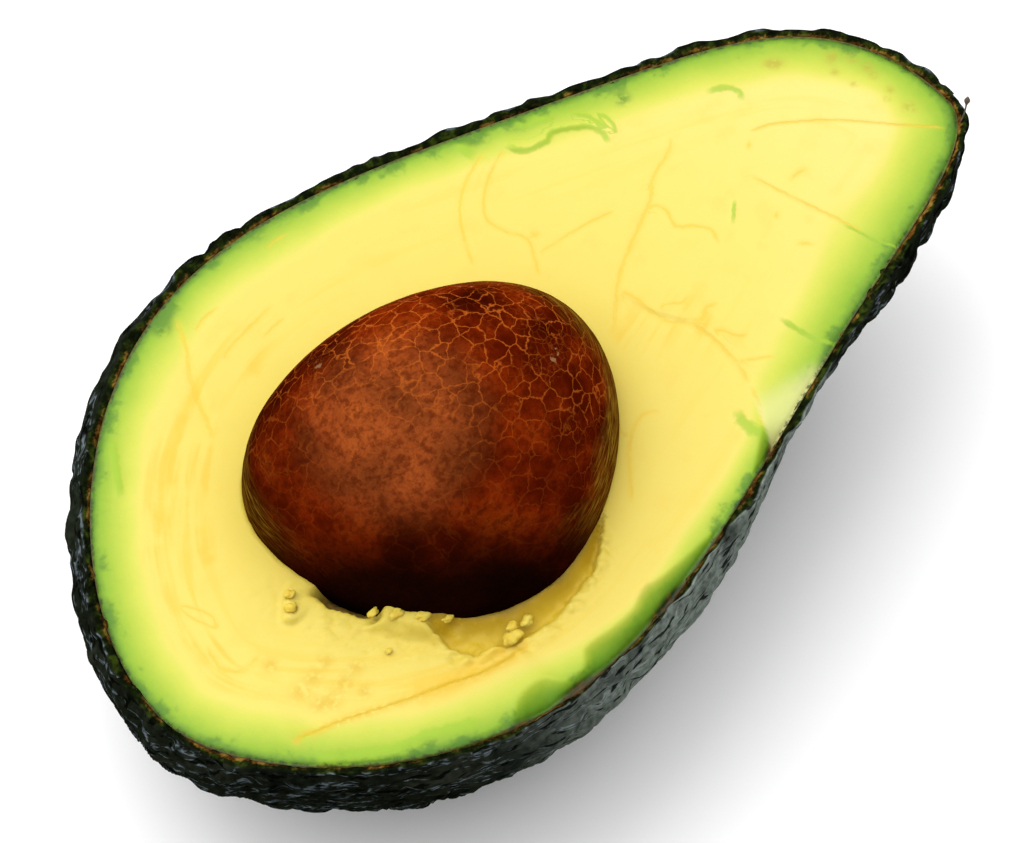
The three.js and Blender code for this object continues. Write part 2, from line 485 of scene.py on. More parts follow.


# Near-black skin: waves along the rim with painted highlights on their crests, dry bloom with painted sheen
# on one side, pits darkened with painted shade, a rusty cut edge
def skinMaterial():
    material, start, shader, place = newMaterial("pebbled skin", Specular_IOR_Level=0.0)
    edge, torn, alongRim, belowRim = (
        attribute(start, name) for name in ("edge", "torn", "alongRim", "belowRim"))
    x, y = flatAxes(place)
    blotch = noise(start, place, 9, 4)
    fine = noise(start, place, 0.9, 5)
    grain = noise(start, stretched(place, 1, 2.2, 2.2), 0.45, 3)
    # fine waves drawn out along the rim: crests where a stretched noise passes its middle value
    swirl = noise(start, place, 3.5, 2)
    waves = noiseOver(start, (alongRim * 0.11, belowRim * 0.85 + swirl * 1.4, swirl), 3.0)
    crest = 1 - absolute(waves - 0.5).between(0.0, 0.035)
    pits = noiseOver(start, (alongRim * 0.45, belowRim * 1.5 + swirl, swirl * 2.0), 2.0)
    pit = 1 - pits.between(0.36, 0.42)
    dark = (blotch * 0.6 + fine * 0.4).ramp(
        (0.35, paint(8, 10, 6)), (0.5, paint(20, 24, 16)), (0.65, paint(38, 42, 34)))
    # painted highlight: pale blue-grey glints painted on the sparse wave crests
    paintedGlint = crest * fine.between(0.4, 0.6) * blotch.between(0.35, 0.5)
    body = (paintedGlint * 0.6).mix(dark, paint(118, 130, 138))
    # paler grey-green on the near side below the waist, worn off in the grooves: a dry bloom with painted
    # sheen
    lengthwise = x.between(-0.034, -0.008) * (1 - x.between(0.016, 0.03))
    bloomAndSheen = lengthwise * (0 - y).between(0.008, 0.02) * blotch.between(0.3, 0.45)
    grey = (crest * 0.2 + fine * 0.8).ramp((0.25, paint(76, 84, 77)), (0.6, paint(134, 144, 136)))
    body = (bloomAndSheen * 0.9).mix(body, grey)
    # painted shade: the pits darkened to near black
    body = (pit * 0.9).mix(body, paint(4, 5, 3))
    rust = fine.ramp((0.35, paint(40, 24, 6)), (0.5, paint(88, 56, 18)), (0.68, paint(134, 104, 46)))
    green = fine.ramp((0.3, paint(7, 10, 4)), (0.5, paint(18, 25, 8)), (0.7, paint(48, 60, 14)))
    patch = noise(start, place, 3, 3)
    rusty = (edge + (grain - 0.5) * 0.9).between(0.5, 0.8) * (patch.between(0.44, 0.56) * 0.8 + torn)
    rimColour = rusty.between(0.0, 1.0).mix(green, rust)
    colour = edge.between(0.05, 0.3).mix(body, rimColour)
    gloss = 0.34 + bloomAndSheen * 0.35 + (fine - 0.5) * 0.15 + edge.between(0.0, 0.3) * 0.35
    shine = bump(start, grain * 0.25 + fine * 0.5 + crest * 1.1 - pit * 0.8, 0.2, 0.8)
    feed(shader, Base_Color=colour, Roughness=gloss, Normal=shine)
    return material


seedLook = {
    "halfLength": 16.7, "halfWidth": 19.8, "halfHeight": 19.0,
    "taper": 0.24, "turn": np.radians(78),
    "rings": 220, "spokes": 300,
}
seedMiddle = np.array([-15.1, 1.2 + sideShift, cutHeight + 0.3])


# Egg, wider across than along: rings along one axis, each sin(angle) (1 + taper s) wide, s = -cos(angle)
def eggPoints(angle, turn):
    along = -np.cos(angle)
    girth = np.sin(angle) * (1 + seedLook["taper"] * along)
    x = seedLook["halfLength"] * along + 0 * turn
    y = seedLook["halfWidth"] * girth * np.cos(turn)
    z = seedLook["halfHeight"] * girth * np.sin(turn)
    c, s = np.cos(seedLook["turn"]), np.sin(seedLook["turn"])
    return np.stack([x * c - y * s, x * s + y * c, z], -1) + seedMiddle


# The egg swollen a little by noise; film says where it is dried over, low where painted shade darkens it and
# the painted highlight where painted light brightens it
def makeSeed(material):
    angle = np.linspace(0, np.pi, seedLook["rings"])[:, None]
    turn = -np.linspace(0, 2 * np.pi, seedLook["spokes"])[None]
    points = eggPoints(angle, turn)
    points[:, -1] = points[:, 0]
    out = points - seedMiddle
    out = out / np.linalg.norm(out, axis=-1, keepdims=True)
    swell = 0.1 + 0.3 * smoothNoise(points, 12.0, 31) + 0.06 * layeredNoise(points, 2.4, 2, 33)
    points = points + out * swell[..., None]
    height = points[..., 2] - cutHeight
    # the thin dried film of flesh: a belt above the cut face, widest away from the near side
    heading = out @ np.array([0.65, 0.76, 0.0])
    belt = 8.5 + 7.0 * smoothStep(0.0, 0.8, heading) + 2.0 * smoothNoise(points, 4.0, 35)
    film = (1 - smoothStep(0.5, 1.0, height / belt)) * smoothStep(-0.7, -0.2, heading)
    # painted shade: darker on the side facing down and toward the near side, and more weakly on the flank
    # toward the far side and the blunt end
    low = smoothStep(0.08, 0.66, out @ np.array([-0.58, -0.68, -0.44]) + 0.08 * smoothNoise(points, 5.0, 37))
    low = np.maximum(low, 0.4 * smoothStep(0.5, 0.95, out @ np.array([-0.76, 0.65, 0.0])))
    # painted highlight: a lit patch on the top facing the light, kept off the side toward the neck and the
    # near side
    facet = smoothStep(0.78, 0.99, out @ np.array([-0.33, -0.02, 0.94]))
    lowered = out @ np.array([0.49, -0.85, -0.16]) + 0.05 * smoothNoise(points, 4.0, 38)
    facet = facet * (1 - smoothStep(0.04, 0.36, lowered))
    layout = evenLayout(seedLook["rings"], seedLook["spokes"])
    sheet = {"points": points, "layout": layout, "values": {"film": film, "low": low, "facet": facet}}
    seed = makePiece("avocado_seed", [sheet], material)
    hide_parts("seed")


# Red-brown seed coat: two cell patterns give the veins, and streaked film covers the belt; painted highlight
# brightens the top and painted shade darkens the lower side
def seedMaterial():
    material, start, shader, place = newMaterial("seed coat", Specular_IOR_Level=0.0)
    film, low, facet = (attribute(start, name) for name in ("film", "low", "facet"))
    bend = noise(start, place, 1.1, 4, take=1)
    bent = place.add("ShaderNodeMix", {"data_type": "VECTOR"}, {0: 0.0011, 4: place, 5: bend}, take=1)
    bent = stretched(bent, 0.85, 1, 1)
    edgeSettings = {"feature": "DISTANCE_TO_EDGE"}
    cells = start.add("ShaderNodeTexVoronoi", edgeSettings, {"Vector": bent, "Scale": 1 / (2.0 * mm)})
    small = start.add("ShaderNodeTexVoronoi", edgeSettings, {"Vector": bent, "Scale": 1 / (1.0 * mm)})
    blotch = noise(start, place, 6, 5)
    mottle = noise(start, place, 0.7, 5)
    grain = noise(start, place, 0.25, 3)
    where = noise(start, place, 4, 3)
    x, y = flatAxes(place)
    # veins show best towards the far side and the stem end
    side = (x * 0.75 + y * 0.85 + (where - 0.5) * 0.014).between(-0.024, -0.004)
    veins = (1 - cells.between(0.0, 0.05)) * (where.between(0.34, 0.52) * 0.8 + 0.2)
    veins = veins + (1 - small.between(0.0, 0.06)) * 0.35 * (1 - where.between(0.4, 0.6))
    veins = veins * (mottle.between(0.25, 0.5) * 0.7 + 0.3) * (side * 0.85 + 0.15)
    body = blotch.ramp(
        (0.3, paint(46, 6, 1)), (0.46, paint(78, 16, 1)), (0.6, paint(112, 32, 3)), (0.75, paint(132, 50, 8)))
    # painted highlight: the lit patch painted lighter
    body = (facet * (0.1 + blotch * 0.75)).mix(body, paint(158, 82, 36))
    body = ((1 - mottle.between(0.32, 0.6)) * 0.55).mix(body, paint(60, 10, 1))
    body = ((1 - grain.between(0.3, 0.6)) * 0.25).mix(body, paint(60, 14, 2))
    colour = (veins * 0.72).mix(body, paint(176, 88, 28))
    lines = noise(start, stretched(place, 1, 1, 8), 2.0, 5)
    filmColour = lines.ramp((0.35, paint(66, 36, 6)), (0.5, paint(98, 64, 14)), (0.65, paint(146, 112, 32)))
    colour = (film * (lines.between(0.3, 0.55) * 0.6 + 0.35)).mix(colour, filmColour)
    specks = (1 - where.between(0.3, 0.34)) * mottle.between(0.56, 0.62) * side
    colour = (specks * 0.6).mix(colour, paint(176, 140, 96))
    # painted shade: the shaded lower side painted near black
    colour = (low * 0.96).mix(colour, paint(9, 3, 1))
    relief = bump(start, veins * 0.5 + mottle * 0.35 + blotch * 2, 0.12, 0.4)
    feed(shader, Base_Color=colour, Roughness=0.42 + mottle * 0.2 + low * 0.2, Normal=relief)
    return material


fleshLook = {
    "rows": 440, "columns": 208, "underColumns": 14,
    "inset": 1.1, "bandWidth": 6.0,
}

# Marks on the cut face: a width and a curve through a few places, in millimetres
greenMarks = [
    (0.45, [(14.5, 21.5), (15.5, 19.5), (18, 18.7), (19.5, 19.1),
            (21.5, 18.1), (23, 17), (23.5, 15.5), (23.2, 14)]),
    (0.35, [(22, 20), (23.5, 18.3), (24.1, 16.5), (23.8, 15)]),
    (0.3, [(24, 18.5), (25, 17), (25, 15.4), (24, 14)]),
    (0.6, [(17, 23), (17.5, 21.7), (19.5, 21), (21, 20.5)]),
    (0.9, [(11.5, 24.7), (10.9, 23.5), (11.5, 22)]),
    (0.5, [(35, 12.2), (36.4, 11.8), (37.7, 10.8), (38, 9.6), (37.3, 8.8)]),
    (0.3, [(29, 0.5), (27.9, -0.6), (26.5, -2)]),
    (0.22, [(38.5, -15.8), (37, -13), (35.5, -9)]),
    (0.35, [(25.5, -19.6), (24, -17), (23, -13)]),
    (0.8, [(-46, -20), (-42, -22.5), (-38.5, -24.6), (-35, -25.6), (-30, -28)]),
    (0.9, [(13.4, -23), (12.4, -21.6), (12, -20), (12.6, -18)]),
    (0.5, [(-39, 21), (-40.5, 18.5), (-42.5, 15)]),
]
goldMarks = [
    (0.26, [(12.5, 22), (10, 21.2), (7, 19.5), (5, 17.2), (3.5, 14.5), (2.5, 12)]),
    (0.24, [(14.5, 21), (12, 20), (9, 18), (7.3, 15.5), (8, 13), (9, 11), (8.2, 9), (7, 6.5)]),
    (0.2, [(8.5, 9), (11, 8.7), (13.5, 8.5), (16.5, 8), (18.5, 7.5)]),
    (0.4, [(9, 11.6), (10, 11), (9.6, 10)]),
    (0.3, [(29, 10.5), (27, 9), (24.5, 8.2), (22.5, 6.5), (20, 5),
           (17, 3.4), (14.5, 2), (12.5, 0.5), (11, -1), (9, -3)]),
    (0.22, [(22.5, 6.5), (23.2, 7.4), (25.2, 7.2)]),
    (0.26, [(20, 5), (21.5, 5.5), (22.5, 4.2), (22, 2), (23.5, 0.7), (24.5, -0.8), (24, -3)]),
    (0.3, [(12.5, 0.5), (13, -1.5), (13.2, -3.5), (14, -6), (15.5, -7.7),
           (16, -9.5), (16.2, -12), (16, -15), (15.5, -17)]),
    (0.24, [(15.5, -17), (14.8, -19), (14, -20.5), (13, -22)]),
    (0.35, [(14, -6), (16.5, -8), (18, -7.4), (19.5, -8)]),
    (0.25, [(16, -9.5), (17.5, -10.5), (18.2, -12), (19.6, -12.6)]),
    (0.2, [(13.5, -4.5), (15, -4.4), (16.5, -5.3), (17.6, -5)]),
    (0.2, [(15.5, -14), (17.6, -15), (20, -16.5)]),
    (0.2, [(32, 1.5), (33.7, -3.5), (35.4, -8), (36.6, -11.5)]),
    (0.18, [(35.5, 5.5), (38.5, 4.3), (43.5, 0.5), (48, -4), (52, -8)]),
    (0.3, [(37.5, -2), (36, -1.7), (34.5, -2)]),
    (0.3, [(32, -9.5), (31, -8.4), (30, -8)]),
    (0.3, [(35, 5), (34.4, 4.2), (33.5, 4)]),
    (0.3, [(31.5, -3.5), (30.5, -4.5)]),
    (0.25, [(-3, -19.5), (-1, -17), (1.5, -14), (4.5, -12.5), (6.5, -13.5)]),
    (0.2, [(1.5, -14), (2, -11), (4, -8)]),
    (0.35, [(-25, 28), (-26.5, 24.5), (-28.5, 21), (-30, 17), (-31, 14)]),
    (0.25, [(-16, 22.5), (-22.5, 21.5), (-24.5, 20.5)]), (0.2, [(-16, 20.5), (-18, 20.4), (-20, 20)]),
    (0.2, [(-9.5, 28), (-11.5, 28.2), (-13, 28)]), (0.2, [(-20.5, 26), (-23, 25.8), (-25, 25)]),
    (0.35, [(-46, -3), (-46.4, -5.5), (-46, -7), (-44.5, -8), (-42, -7.5)]),
    (0.16, [(-45.5, 2), (-45.2, 0), (-44, -2.5), (-43.6, -1), (-44.6, 1), (-45.5, 2)]),
]
# Dark green bruises beside the rim: place and radius
bruises = [
    (-25.3, 30.2, 2.0), (-27.0, 28.0, 1.2), (-16.0, 31.6, 1.4), (-12.5, 31.0, 1.6), (-9.0, 30.4, 1.3),
    (13.0, 24.2, 1.5), (17.5, 22.5, 1.2), (-44.5, 23.0, 0.9), (28.0, 17.5, 1.0), (-5.0, 30.0, 1.0),
    (13.2, -23.6, 1.4), (-36.0, -26.5, 1.2),
]
# Broad soft patches of deeper yellow
goldPatches = [
    (0.9, [(-34, 21), (-38.5, 16.5), (-41, 12), (-42.5, 7)]),
    (0.8, [(-31, 19), (-36, 14), (-39, 8), (-40.2, 3)]),
    (0.7, [(-31.5, 14.5), (-34, 12), (-35.5, 8)]),
    (0.9, [(-45, -2.5), (-46.4, -5.5), (-45.2, -8.2), (-41.5, -8.2)]),
    (0.7, [(-44, 10), (-46.5, 3), (-47.5, -3)]),
    (1.0, [(-34, -21.3), (-30.5, -22.6), (-25.5, -23.8), (-21.5, -23.8)]),
    (1.4, [(7.5, -4), (13, -5.5), (18, -9)]),
    (0.7, [(-27.5, 24.5), (-28, 22), (-29, 19), (-30, 16.5)]),
    (0.6, [(-19, 20.5), (-21, 19.5), (-24, 16.5)]),
]
brownSpots = [
    (48.5, 6.5, 0.8), (50, 5, 0.6), (50.6, 3.2, 0.6), (50.4, 2, 0.5), (47.5, 5, 0.45), (48, 2.5, 0.35),
    (50.5, -0.5, 0.45), (49.5, -1.2, 0.35), (50.6, -3.5, 0.7), (43.5, 9.8, 0.7), (42.8, 10.4, 0.6),
    (-42, -13.5, 1.0), (-40, -13, 0.9), (-38, -12.5, 0.8), (-40, -16.2, 1.0), (-38, -15.5, 0.9),
    (-36, -15, 0.8), (-37, -17.5, 0.7), (-41.5, -15.6, 0.8), (-42.4, -9.2, 0.8),
]
# Height and reach of each knife step, and its curve
knifeSteps = [
    (-0.45, 5.0, [(-46.5, -17), (-41, -18.5), (-35, -20.8), (-30, -22.5), (-25.5, -24), (-20.5, -24.2)]),
    (0.5, 1.6, [(-34.5, -2.8), (-36.6, -4.2), (-38.3, -6.2), (-37.2, -7.2), (-35.2, -6.6)]),
    (0.10, 5.0, [(32, 1.5), (33.7, -3.5), (35.4, -8), (36.6, -11.5), (38.3, -16)]),
    (0.18, 3.0, [(23, -11), (23.3, -14.5), (25.3, -19.5)]),
    (0.06, 4.0, [(35.5, 5.5), (38.5, 4.3), (43.5, 0.5), (48, -4), (52, -8)]),
    (0.14, 3.0, [(12.5, 0.5), (13.2, -3.5), (15.5, -7.7), (16.2, -12), (15.5, -17), (13, -23)]),
    (0.16, 2.0, [(14, 23), (15, 20), (18, 18.8), (19.5, 19.1), (21.5, 18.1), (23, 17), (23.5, 15), (22, 13)]),
    (0.16, 4.0, [(-24.5, 30), (-26.5, 24.5), (-29, 18.5), (-31, 14)]),
    (0.12, 2.5, [(11, 22), (7, 19.6), (5, 17.2), (3.5, 14.5), (2.5, 12)]),
]
# Upper edge of the scalloped bevel along the near side
scallops = [(14.5, -20.5), (10.5, -23.6), (7.5, -25.8), (5.5, -26.9), (-0.5, -27.3), (-6, -27.4),
            (-7.8, -27.1), (-9.2, -27.5), (-10.6, -28.2), (-13.5, -28.4), (-17, -28.3), (-18.6, -29.8),
            (-21, -29.8), (-22.5, -28.2), (-25, -28), (-27, -29), (-29, -31)]


# How far the torn hollow runs out from the seed, by the direction seen from the seed's middle
def hollowReach(xy):
    away = xy - seedMiddle[:2]
    heading = np.degrees(np.arctan2(away[..., 1], away[..., 0])) % 360
    jagged = heading + 5 * layeredNoise(flat(xy), 2.2, 3, 80)
    wide = smoothStep(218, 236, jagged) * (1 - smoothStep(282, 312, jagged))
    reach = wide * (3.5 - 1.2 * smoothStep(255, 285, heading) + 0.8 * layeredNoise(flat(xy), 2.4, 4, 81))
    return wide, reach, heading


# Distance of each point of the cut face from the seed's outline there, less than zero inside it
def fromSeed(xy):
    c, s = np.cos(seedLook["turn"]), np.sin(seedLook["turn"])
    away = xy - seedMiddle[:2]
    along = away[..., 0] * c + away[..., 1] * s
    side = -away[..., 0] * s + away[..., 1] * c
    share = np.clip(along / seedLook["halfLength"], -1.6, 1.6)
    girth = seedLook["halfWidth"] * (1 + seedLook["taper"] * np.clip(share, -1, 1))
    ratio = np.sqrt(share**2 + (side / girth) ** 2)
    return (ratio - 1) * np.hypot(along, side) / np.maximum(ratio, 1e-6) - 0.1


# The cut face is nearly flat: a slow swell, knife steps, the scalloped bevel and the torn hollow
def cutRelief(xy, toSkin, toSeed):
    spot = flat(xy)
    z = 0.2 * layeredNoise(spot, 16.0, 2, 61) + 0.04 * layeredNoise(spot, 3.0, 3, 62)
    for height, reach, path in knifeSteps:
        z = z + knifeStep(xy, path, height, reach)
    distance, side, along = fromCurve(xy, scallops, 6.0)
    bevel = (side > 0) * (distance < 6) * tapered(along, scallops, 3.0)
    slope = 0.5 + 0.15 * smoothNoise(spot, 4.0, 63)
    z = z - bevel * slope * np.minimum(distance, 3.5) + 0.12 * stroke(xy, scallops, 0.5)
    for width, path in greenMarks:
        z = z + 0.1 * stroke(xy, path, width)
    wide, reach, heading = hollowReach(xy)
    share = toSeed / np.maximum(reach, 0.3)
    inside = (1 - smoothStep(0.9, 1.05, share)) * smoothStep(0.05, 0.4, wide)
    lumps = layeredNoise(spot, 1.6, 3, 83)
    share = np.clip(share, 0, 1)
    bowl = 1.4 * smoothStep(0.0, 0.75, share) + 0.35 * lumps - 0.3
    z = z - inside * bowl
    # a torn ledge that stands against the seed, and a slot left of it where the flesh has come away
    jagged = heading + 6 * layeredNoise(spot, 1.3, 3, 85)
    ledge = smoothStep(203, 209, jagged) * (1 - smoothStep(226, 236, jagged))
    ledge = ledge * (1 - smoothStep(1.2, 3.2, toSeed))
    z = z + ledge * (1.5 + 0.7 * lumps)
    slot = smoothStep(183, 189, heading) * (1 - smoothStep(200, 206, jagged))
    slot = slot * (1 - smoothStep(0.9, 1.7, toSeed + 0.5 * lumps))
    z = z - slot * 3.0
    torn = smoothStep(165, 195, heading) * (1 - smoothStep(236, 258, heading))
    rough = torn * (1 - smoothStep(3.5, 7.0, toSeed + 2.0 * layeredNoise(spot, 4.0, 2, 86)))
    crumbly = wide * np.exp(-(((toSeed - 1.15 * reach) / 0.9) ** 2))
    z = z + (crumbly * 0.9 + rough * 0.3) * np.maximum(layeredNoise(spot, 0.9, 3, 87), -0.35)
    z = z + 0.15 * np.exp(-np.maximum(toSeed, 0) / 0.5) * (1 - wide)
    z = z - np.minimum(np.clip(-toSeed - 0.1, 0, None) * 2.2, 9.0)
    z = z - rimTear(xy, 4) * np.exp(-toSkin / 1.2) - 0.25 * np.exp(-((toSkin / 0.35) ** 2))
    return z, np.clip(bevel * np.minimum(distance, 1.0), 0, 1), inside, np.maximum(crumbly, rough), slot


# The cut face runs straight across from rim to rim, and the underside follows the inside of the skin
def makeFlesh(material):
    rows, columns = fleshLook["rows"], fleshLook["columns"]
    share = np.linspace(0, 1, rows)[:, None]
    angle = np.pi * share + 0.4 * np.sin(2 * np.pi * share)
    rims = [np.full((1, 1), rim) for rim in (1.0, 0.0)]
    nearEdge, farEdge = (outside(angle, rim) - outward(angle, rim) * fleshLook["inset"] for rim in rims)
    v = np.linspace(0, 1, columns)[None, :, None]
    top = nearEdge * (1 - v) + farEdge * v
    xy = top[..., :2]
    outline = np.vstack([nearEdge[:, 0, :2], farEdge[::-1, 0, :2]])
    toSkin = np.stack([nearestOnPath(row, outline)[0] for row in xy])
    toSeed = fromSeed(xy)
    z, bevel, hollow, crumbly, slot = cutRelief(xy, toSkin, toSeed)
    top[..., 2] = cutHeight - 0.12 + z * smoothStep(-0.02, 0.05, toSkin)

    # the green band is wider on the neck's near side and narrower below the middle of the far side
    x, y = xy[..., 0], xy[..., 1]
    spot = flat(xy)
    width = 1.0 + 0.4 * smoothStep(18, 34, x) * smoothStep(2, -8, y)
    width = width - 0.15 * np.exp(-(((x - 4) / 12) ** 2)) * (y > 0)
    width = width - 0.4 * smoothStep(-24, -12, x) * (1 - smoothStep(10, 16, x)) * (y < -10)
    width = width * (1 + 0.14 * layeredNoise(spot, 7.0, 2, 64))
    greenGap, green = markField(xy, greenMarks)
    goldGap, gold = markField(xy, goldMarks)
    patches = sum(stroke(xy, path, 2 * width) for width, path in goldPatches)
    brown = sum(np.exp(-((np.hypot(x - px, y - py) / size) ** 2)) for px, py, size in brownSpots)
    brown = brown + 1.2 * stroke(xy, knifeSteps[0][2], 0.6)
    bruise = sum(np.exp(-((np.hypot(x - px, y - py) / size) ** 2)) for px, py, size in bruises)
    # a pale wedge where the knife left the skin, between a fibre on its left and the neck's green band
    pale = smoothStep(-0.15, 0.25, (x - 13.2) * 0.93 - (y + 22.0) * 0.36)
    pale = pale * (1 - smoothStep(-0.5, 2.5, (y + 19.8) + (x - 13) * 0.12))
    pale = pale * (1 - smoothStep(21.5, 24.5, x + 0.6 * smoothNoise(spot, 1.5, 66)))
    values = {
        "rind": toSkin / (fleshLook["bandWidth"] * width), "toSkin": toSkin,
        "toSeed": np.clip(toSeed, -3, 60), "green": green, "greenGap": greenGap,
        "gold": gold, "goldGap": goldGap, "patches": np.clip(patches, 0, 1),
        "brown": np.clip(brown, 0, 1), "hollow": hollow, "crumbly": crumbly, "pale": pale,
        "bevel": bevel, "slot": slot, "bruise": np.clip(bruise, 0, 1),
        "pocket": smoothStep(0.2, 0.45, rimTear(xy, 4) * np.exp(-toSkin / 0.9)),
    }
    topLayout = np.stack([0.5 + x / 113, 0.29 + y / 113], -1)

    around = np.linspace(0, 1, fleshLook["underColumns"])[None]
    under = outside(angle, around) - outward(angle, around) * (fleshLook["inset"] + 0.15)
    under[..., 2] = np.minimum(under[..., 2], cutHeight - 0.2)
    under[:, [0, -1]] = top[:, [-1, 0]]
    underLayout = np.stack(np.broadcast_arrays(0.01 + 0.98 * share, 0.62 + 0.36 * around), -1)
    underValues = {key: np.repeat(part[:, -1:], fleshLook["underColumns"], 1) for key, part in values.items()}
    sheets = [{"points": top, "layout": topLayout, "values": values},
              {"points": under, "layout": underLayout, "values": underValues}]
    flesh = makePiece("avocado_flesh", sheets, material)
    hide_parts("flesh")


# Yellow flesh with its marks; the green band follows the distance to the skin over the band's width
def fleshMaterial():
    material, start, shader, place = newMaterial("cut flesh", Specular_IOR_Level=0.35)
    rind, toSkin, toSeed = (attribute(start, name) for name in ("rind", "toSkin", "toSeed"))
    green, greenGap, gold, goldGap = (
        attribute(start, name) for name in ("green", "greenGap", "gold", "goldGap"))
    patches, brown, hollow, crumbly, pale = (
        attribute(start, name) for name in ("patches", "brown", "hollow", "crumbly", "pale"))
    bevel, slot, bruise, pocket = (attribute(start, name) for name in ("bevel", "slot", "bruise", "pocket"))
    mid = noise(start, place, 3.2, 4)
    fine = noise(start, place, 0.7, 4)
    tiny = noise(start, place, 0.25, 2)
    patch = noise(start, place, 3.5, 3)
    colour = (toSeed / 40).ramp((0.0, seen(247, 220, 84)), (0.12, seen(252, 228, 102)),
                                (0.45, seen(253, 234, 112)), (1.0, seen(253, 240, 134)))
    x, y = flatAxes(place)
    # faint streaks that run with the rim, strongest round the blunt end
    streaks = noiseOver(start, (toSkin * 0.8, x * 70, y * 70), 4.0)
    blunt = 1 - x.between(-0.034, 0.0)
    inner = rind.between(0.9, 1.3) * (1 - toSkin.between(9, 15))
    inner = inner * streaks.between(0.5, 0.66) * (blunt * 0.45 + 0.2)
    colour = inner.mix(colour, seen(253, 216, 66))
    deeper = patches * streaks.between(0.42, 0.6) * mid.between(0.3, 0.6) * 0.7
    colour = deeper.mix(colour, seen(252, 208, 54))
    colour = (mid.between(0.5, 0.75) * 0.3).mix(colour, seen(252, 218, 88))
    band = (rind + (mid - 0.5) * 0.14 + (fine - 0.5) * 0.08).ramp(
        (0.0, seen(60, 98, 4)), (0.06, seen(100, 150, 12)), (0.18, seen(154, 196, 34)),
        (0.4, seen(192, 216, 58)), (0.66, seen(226, 230, 82)), (0.95, seen(251, 236, 114)))
    colour = rind.between(0.7, 1.1).mix(band, colour)
    mossy = (1 - (toSkin + (fine - 0.5) * 2.2).between(0.3, 2.2)) * patch.between(0.48, 0.6)
    mossy = mossy + bruise * (fine.between(0.35, 0.55) * 0.6 + 0.4)
    colour = (mossy.between(0.0, 1.1) * 0.8).mix(colour, seen(84, 138, 12))
    goldLine = gold * (1 - absolute(goldGap + (fine - 0.5) * 2.2).between(0.25, 0.9))
    goldHalo = gold * (1 - absolute(goldGap).between(0.5, 3.0)) * 0.2
    colour = (goldLine * 0.42 * mid.between(0.25, 0.5) + goldHalo).mix(colour, seen(252, 208, 44))
    greenLine = green * (1 - absolute(greenGap + (fine - 0.5) * 1.4).between(0.3, 1.1))
    colour = (greenLine * 0.75).mix(colour, seen(168, 208, 36))
    spotColour = x.between(0.0, 0.01).mix(seen(240, 194, 48), seen(196, 176, 48))
    colour = (brown * 0.7 * fine.between(0.3, 0.55)).mix(colour, spotColour)
    bevelColour = (toSkin * 0.25 + fine * 0.1).ramp(
        (0.05, seen(46, 88, 2)), (0.35, seen(106, 160, 6)), (0.8, seen(178, 210, 36)))
    colour = (bevel * 0.85 * mid.between(0.15, 0.4)).mix(colour, bevelColour)
    colour = (pocket * 0.9).mix(colour, fine.ramp((0.45, seen(18, 11, 4)), (0.65, seen(100, 50, 12))))
    colour = (pale * 0.7).mix(colour, seen(246, 242, 156))
    # the torn hollow is golden, darkened towards the seed with painted shade
    colour = (hollow * (0.8 + mid * 0.3)).mix(colour, (toSeed * 0.25 + mid * 0.4).ramp(
        (0.15, seen(156, 122, 6)), (0.35, seen(208, 168, 14)), (0.8, seen(234, 198, 34))))
    colour = (crumbly * (1 - fine.between(0.3, 0.5)) * 0.4).mix(colour, seen(240, 206, 50))
    colour = (slot * 0.9).mix(colour, fine.ramp((0.3, seen(96, 58, 14)), (0.7, seen(178, 132, 52))))
    crust = 1 - (toSkin + (tiny - 0.5) * 0.7 + (fine - 0.5) * 0.9).between(0.0, 0.35)
    colour = (crust * 0.85).mix(colour, fine.ramp((0.4, seen(54, 66, 12)), (0.6, seen(110, 80, 26))))
    relief = bump(start, fine * 0.4 + mid + tiny * 0.15 - goldLine * 0.5 + greenLine * 0.4, 0.10, 0.5)
    feed(shader, Base_Color=colour, Roughness=0.5 + fine * 0.15, Normal=relief)
    shader.inputs["Subsurface Weight"].default_value = 0.1
    shader.inputs["Subsurface Radius"].default_value = (1.0, 0.7, 0.2)
    shader.inputs["Subsurface Scale"].default_value = 1.5 * mm
    return material


# Place, height above the cut face and half size of each crumb
crumbs = [
    (-37.0, -5.8, 0.4, 0.7), (-36.2, -4.6, 0.5, 0.5), (-31.2, -12.0, 1.2, 0.6), (-29.4, -13.6, 1.4, 0.7),
    (-27.6, -15.6, 1.4, 0.7), (-25.8, -17.2, 1.0, 0.5), (-22.0, -22.8, 0.2, 0.8), (-21.2, -22.0, 0.4, 0.6),
    (-19.6, -22.4, 0.2, 0.7), (-10.2, -19.4, 0.5, 0.6), (-9.4, -18.8, 0.6, 0.5), (-18.2, -17.6, 4.2, 0.4),
    (-32.4, -15.8, 0.0, 0.35),
]


crumbRings, crumbSpokes = 13, 19


# Each crumb is a small ball, its radius varied by noise, drawn out along x and squashed in y and z
def makeCrumbs(material):
    angle = np.linspace(0, np.pi, crumbRings)[:, None]
    turn = -np.linspace(0, 2 * np.pi, crumbSpokes)[None]
    girth = np.sin(angle)
    ball = np.stack([-np.cos(angle) + 0 * turn, girth * np.cos(turn), girth * np.sin(turn)], -1)
    sheets = []
    for order, (x, y, height, size) in enumerate(crumbs):
        middle = np.array([x, y, cutHeight + height])
        lumpy = 1 + 0.8 * layeredNoise(ball * 1.1 + 7.3 * order, 0.9, 4, order)
        points = middle + ball * size * lumpy[..., None] * np.array([1.2, 0.8, 0.6])
        points[:, -1] = points[:, 0]
        points[[0, -1]] = points[[0, -1], :1]
        column, row = order % 5, order // 5
        tile = (np.array([column, row]) + evenLayout(crumbRings, crumbSpokes, 0.03)) / np.array([5, 4])
        sheets.append({"points": points, "layout": tile})
    piece = makePiece("flesh_crumbs", sheets, material)
    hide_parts("flesh")


